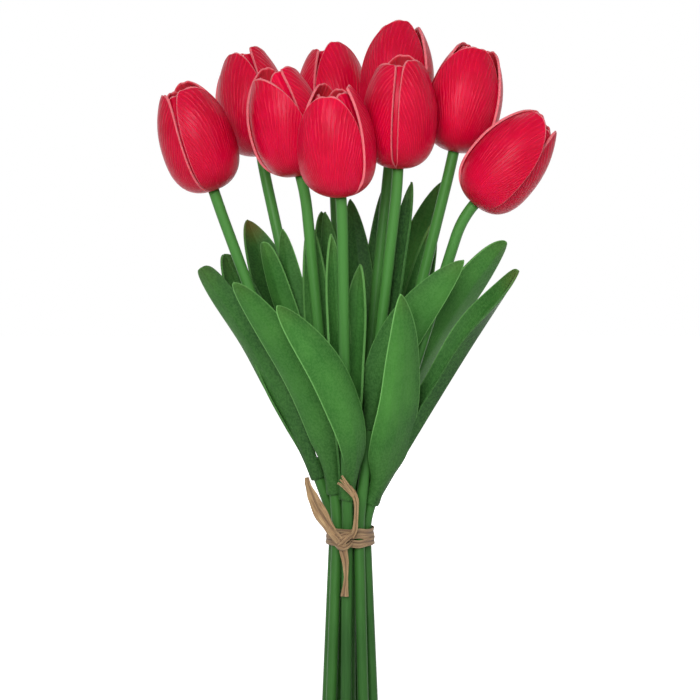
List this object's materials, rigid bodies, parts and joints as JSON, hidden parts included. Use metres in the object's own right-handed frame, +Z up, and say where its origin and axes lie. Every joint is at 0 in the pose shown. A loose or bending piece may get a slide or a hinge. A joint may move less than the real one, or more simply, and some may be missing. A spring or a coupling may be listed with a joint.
{
  "type": "artificial tulip bundle",
  "caption": "Bundle of artificial tulips with egg-shaped foam heads, channelled leaves on sliding sleeves and wired stems, tied with a raffia strip.",
  "frame": {"origin": "centre of the flat foot of the middle stem, level with the feet of the other stems", "axes": "+Z up along the stems, +X to the right and +Y away from the viewer of the picture"},
  "size_m": [0.1844, 0.1148, 0.3399],
  "materials": {
    "stem": "satin moulded",
    "wire": "drawn wire",
    "leaf": "soft matt, veined",
    "petal": "soft foam with a fine sheen",
    "core": "foam",
    "raffia": "dry plant fibre"
  },
  "bodies": {
    "tied_stems": {"stem_far_left": "stem", "wire_far_left": "wire", "stem_back_left": "stem", "wire_back_left": "wire", "stem_front_left": "stem", "wire_front_left": "wire", "stem_middle": "stem", "wire_middle": "wire", "stem_front_centre": "stem", "wire_front_centre": "wire", "stem_back_right": "stem", "wire_back_right": "wire", "stem_front_right": "stem", "wire_front_right": "wire", "stem_right": "stem", "wire_right": "wire", "stem_far_right": "stem", "wire_far_right": "wire", "raffia_band": "raffia", "raffia_knot": "raffia", "raffia_left_tail": "raffia", "raffia_upper_tail": "raffia", "raffia_lower_tail": "raffia"},
    "leaves_far_left": {"leaf_far_left": "leaf"},
    "head_far_left": {"outer_petals_far_left": "petal", "inner_petals_far_left": "petal", "bud_core_far_left": "core"},
    "leaves_back_left": {"leaf_back_left": "leaf"},
    "head_back_left": {"outer_petals_back_left": "petal", "inner_petals_back_left": "petal", "bud_core_back_left": "core"},
    "leaves_front_left": {"leaf_front_left": "leaf"},
    "head_front_left": {"outer_petals_front_left": "petal", "inner_petals_front_left": "petal", "bud_core_front_left": "core"},
    "leaves_middle": {"leaf_middle": "leaf"},
    "head_middle": {"outer_petals_middle": "petal", "inner_petals_middle": "petal", "bud_core_middle": "core"},
    "leaves_front_centre": {"leaf_front_centre": "leaf"},
    "head_front_centre": {"outer_petals_front_centre": "petal", "inner_petals_front_centre": "petal", "bud_core_front_centre": "core"},
    "leaves_back_right": {"leaf_back_right": "leaf"},
    "head_back_right": {"outer_petals_back_right": "petal", "inner_petals_back_right": "petal", "bud_core_back_right": "core"},
    "leaves_front_right": {"leaf_front_right": "leaf"},
    "head_front_right": {"outer_petals_front_right": "petal", "inner_petals_front_right": "petal", "bud_core_front_right": "core"},
    "leaves_right": {"leaf_right": "leaf"},
    "head_right": {"outer_petals_right": "petal", "inner_petals_right": "petal", "bud_core_right": "core"},
    "leaves_far_right": {"leaf_far_right": "leaf"},
    "head_far_right": {"outer_petals_far_right": "petal", "inner_petals_far_right": "petal", "bud_core_far_right": "core"}
  },
  "joints": [
    {"name": "head_far_left_turn", "type": "hinge", "parent": "tied_stems", "child": "head_far_left", "pos_m": [-0.06358, -0.00598, 0.26], "axis": [-0.3075, -0.0995, 0.9463], "continuous": true},
    {"name": "leaves_far_left_slide", "type": "slide", "parent": "tied_stems", "child": "leaves_far_left", "axis": [-0.3421, -0.0403, 0.9388], "range_m": [0, 0.006]},
    {"name": "head_back_left_turn", "type": "hinge", "parent": "tied_stems", "child": "head_back_left", "pos_m": [-0.04226, 0.02468, 0.277], "axis": [-0.172, 0.1371, 0.9755], "continuous": true},
    {"name": "leaves_back_left_slide", "type": "slide", "parent": "tied_stems", "child": "leaves_back_left", "axis": [-0.2163, 0.1038, 0.9708], "range_m": [0, 0.006]},
    {"name": "head_front_left_turn", "type": "hinge", "parent": "tied_stems", "child": "head_front_left", "pos_m": [-0.023, -0.01103, 0.267], "axis": [-0.2575, -0.101, 0.961], "continuous": true},
    {"name": "leaves_front_left_slide", "type": "slide", "parent": "tied_stems", "child": "leaves_front_left", "axis": [-0.0954, -0.0387, 0.9947], "range_m": [0, 0.006]},
    {"name": "head_middle_turn", "type": "hinge", "parent": "tied_stems", "child": "head_middle", "pos_m": [-0.00804, 0.03403, 0.279], "axis": [-0.0347, 0.1045, 0.9939], "continuous": true},
    {"name": "leaves_middle_slide", "type": "slide", "parent": "tied_stems", "child": "leaves_middle", "axis": [-0.0456, 0.1952, 0.9797], "range_m": [0, 0.006]},
    {"name": "head_front_centre_turn", "type": "hinge", "parent": "tied_stems", "child": "head_front_centre", "pos_m": [-0.00419, -0.03796, 0.257], "axis": [-0.0687, -0.1732, 0.9825], "continuous": true},
    {"name": "leaves_front_centre_slide", "type": "slide", "parent": "tied_stems", "child": "leaves_front_centre", "axis": [-0.0158, -0.1993, 0.9798], "range_m": [0, 0.006]},
    {"name": "head_back_right_turn", "type": "hinge", "parent": "tied_stems", "child": "head_back_right", "pos_m": [0.02001, 0.01402, 0.288], "axis": [0.0869, 0.0695, 0.9938], "continuous": true},
    {"name": "leaves_back_right_slide", "type": "slide", "parent": "tied_stems", "child": "leaves_back_right", "axis": [0.1021, 0.0359, 0.9941], "range_m": [0, 0.006]},
    {"name": "head_front_right_turn", "type": "hinge", "parent": "tied_stems", "child": "head_front_right", "pos_m": [0.02207, -0.02001, 0.27], "axis": [0.0347, -0.1045, 0.9939], "continuous": true},
    {"name": "leaves_front_right_slide", "type": "slide", "parent": "tied_stems", "child": "leaves_front_right", "axis": [0.1112, -0.0831, 0.9903], "range_m": [0, 0.006]},
    {"name": "head_right_turn", "type": "hinge", "parent": "tied_stems", "child": "head_right", "pos_m": [0.04843, -0.00198, 0.278], "axis": [0.2078, 0.0341, 0.9776], "continuous": true},
    {"name": "leaves_right_slide", "type": "slide", "parent": "tied_stems", "child": "leaves_right", "axis": [0.2389, -0.0377, 0.9703], "range_m": [0, 0.006]},
    {"name": "head_far_right_turn", "type": "hinge", "parent": "tied_stems", "child": "head_far_right", "pos_m": [0.0573, -0.01982, 0.2535], "axis": [0.6407, -0.0803, 0.7636], "continuous": true},
    {"name": "leaves_far_right_slide", "type": "slide", "parent": "tied_stems", "child": "leaves_far_right", "axis": [0.2955, -0.1187, 0.948], "range_m": [0, 0.006]}
  ]
}
